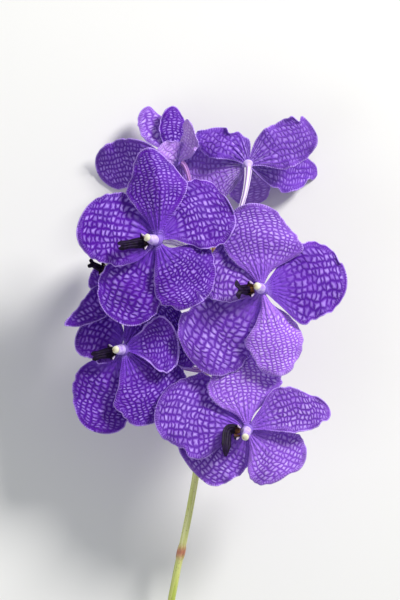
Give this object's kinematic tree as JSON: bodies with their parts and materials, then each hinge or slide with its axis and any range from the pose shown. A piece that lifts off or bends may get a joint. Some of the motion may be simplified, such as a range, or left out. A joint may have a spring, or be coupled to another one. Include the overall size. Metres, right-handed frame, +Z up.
{
  "type": "cut vanda orchid",
  "caption": "Cut spike of netted violet vanda orchids, open blooms and dark lips on arched stalks from a green stem, lying on its back.",
  "frame": {"origin": "on the surface that the flower lies on, under the middle of its bounding box", "axes": "+Y along the spike from its cut end to its tip, +Z up, towards the side that shows the open blooms"},
  "size_m": [0.1702, 0.4334, 0.1067],
  "materials": {
    "tepals": "satin, netted violet",
    "column": "waxy",
    "anther_cap": "waxy",
    "lip": "satin",
    "pedicel": "satin, striped",
    "stem": "satin",
    "bract": "dry, matt"
  },
  "bodies": {
    "root": {"stem": "stem", "bloom_front_tepals": "tepals", "bloom_front_column": "column", "bloom_front_anther_cap": "anther_cap", "bloom_front_lip": "lip", "bloom_front_pedicel": "pedicel", "bloom_front_bract": "bract", "bloom_right_tepals": "tepals", "bloom_right_column": "column", "bloom_right_anther_cap": "anther_cap", "bloom_right_lip": "lip", "bloom_right_pedicel": "pedicel", "bloom_right_bract": "bract", "bloom_low_tepals": "tepals", "bloom_low_column": "column", "bloom_low_anther_cap": "anther_cap", "bloom_low_lip": "lip", "bloom_low_pedicel": "pedicel", "bloom_low_bract": "bract", "bloom_left_tepals": "tepals", "bloom_left_column": "column", "bloom_left_anther_cap": "anther_cap", "bloom_left_lip": "lip", "bloom_left_pedicel": "pedicel", "bloom_left_bract": "bract", "bloom_side_tepals": "tepals", "bloom_side_column": "column", "bloom_side_anther_cap": "anther_cap", "bloom_side_lip": "lip", "bloom_side_pedicel": "pedicel", "bloom_side_bract": "bract", "bloom_top_left_tepals": "tepals", "bloom_top_left_column": "column", "bloom_top_left_anther_cap": "anther_cap", "bloom_top_left_lip": "lip", "bloom_top_left_pedicel": "pedicel", "bloom_top_left_bract": "bract", "bloom_top_right_tepals": "tepals", "bloom_top_right_column": "column", "bloom_top_right_anther_cap": "anther_cap", "bloom_top_right_lip": "lip", "bloom_top_right_pedicel": "pedicel", "bloom_top_right_bract": "bract"}
  },
  "joints": []
}
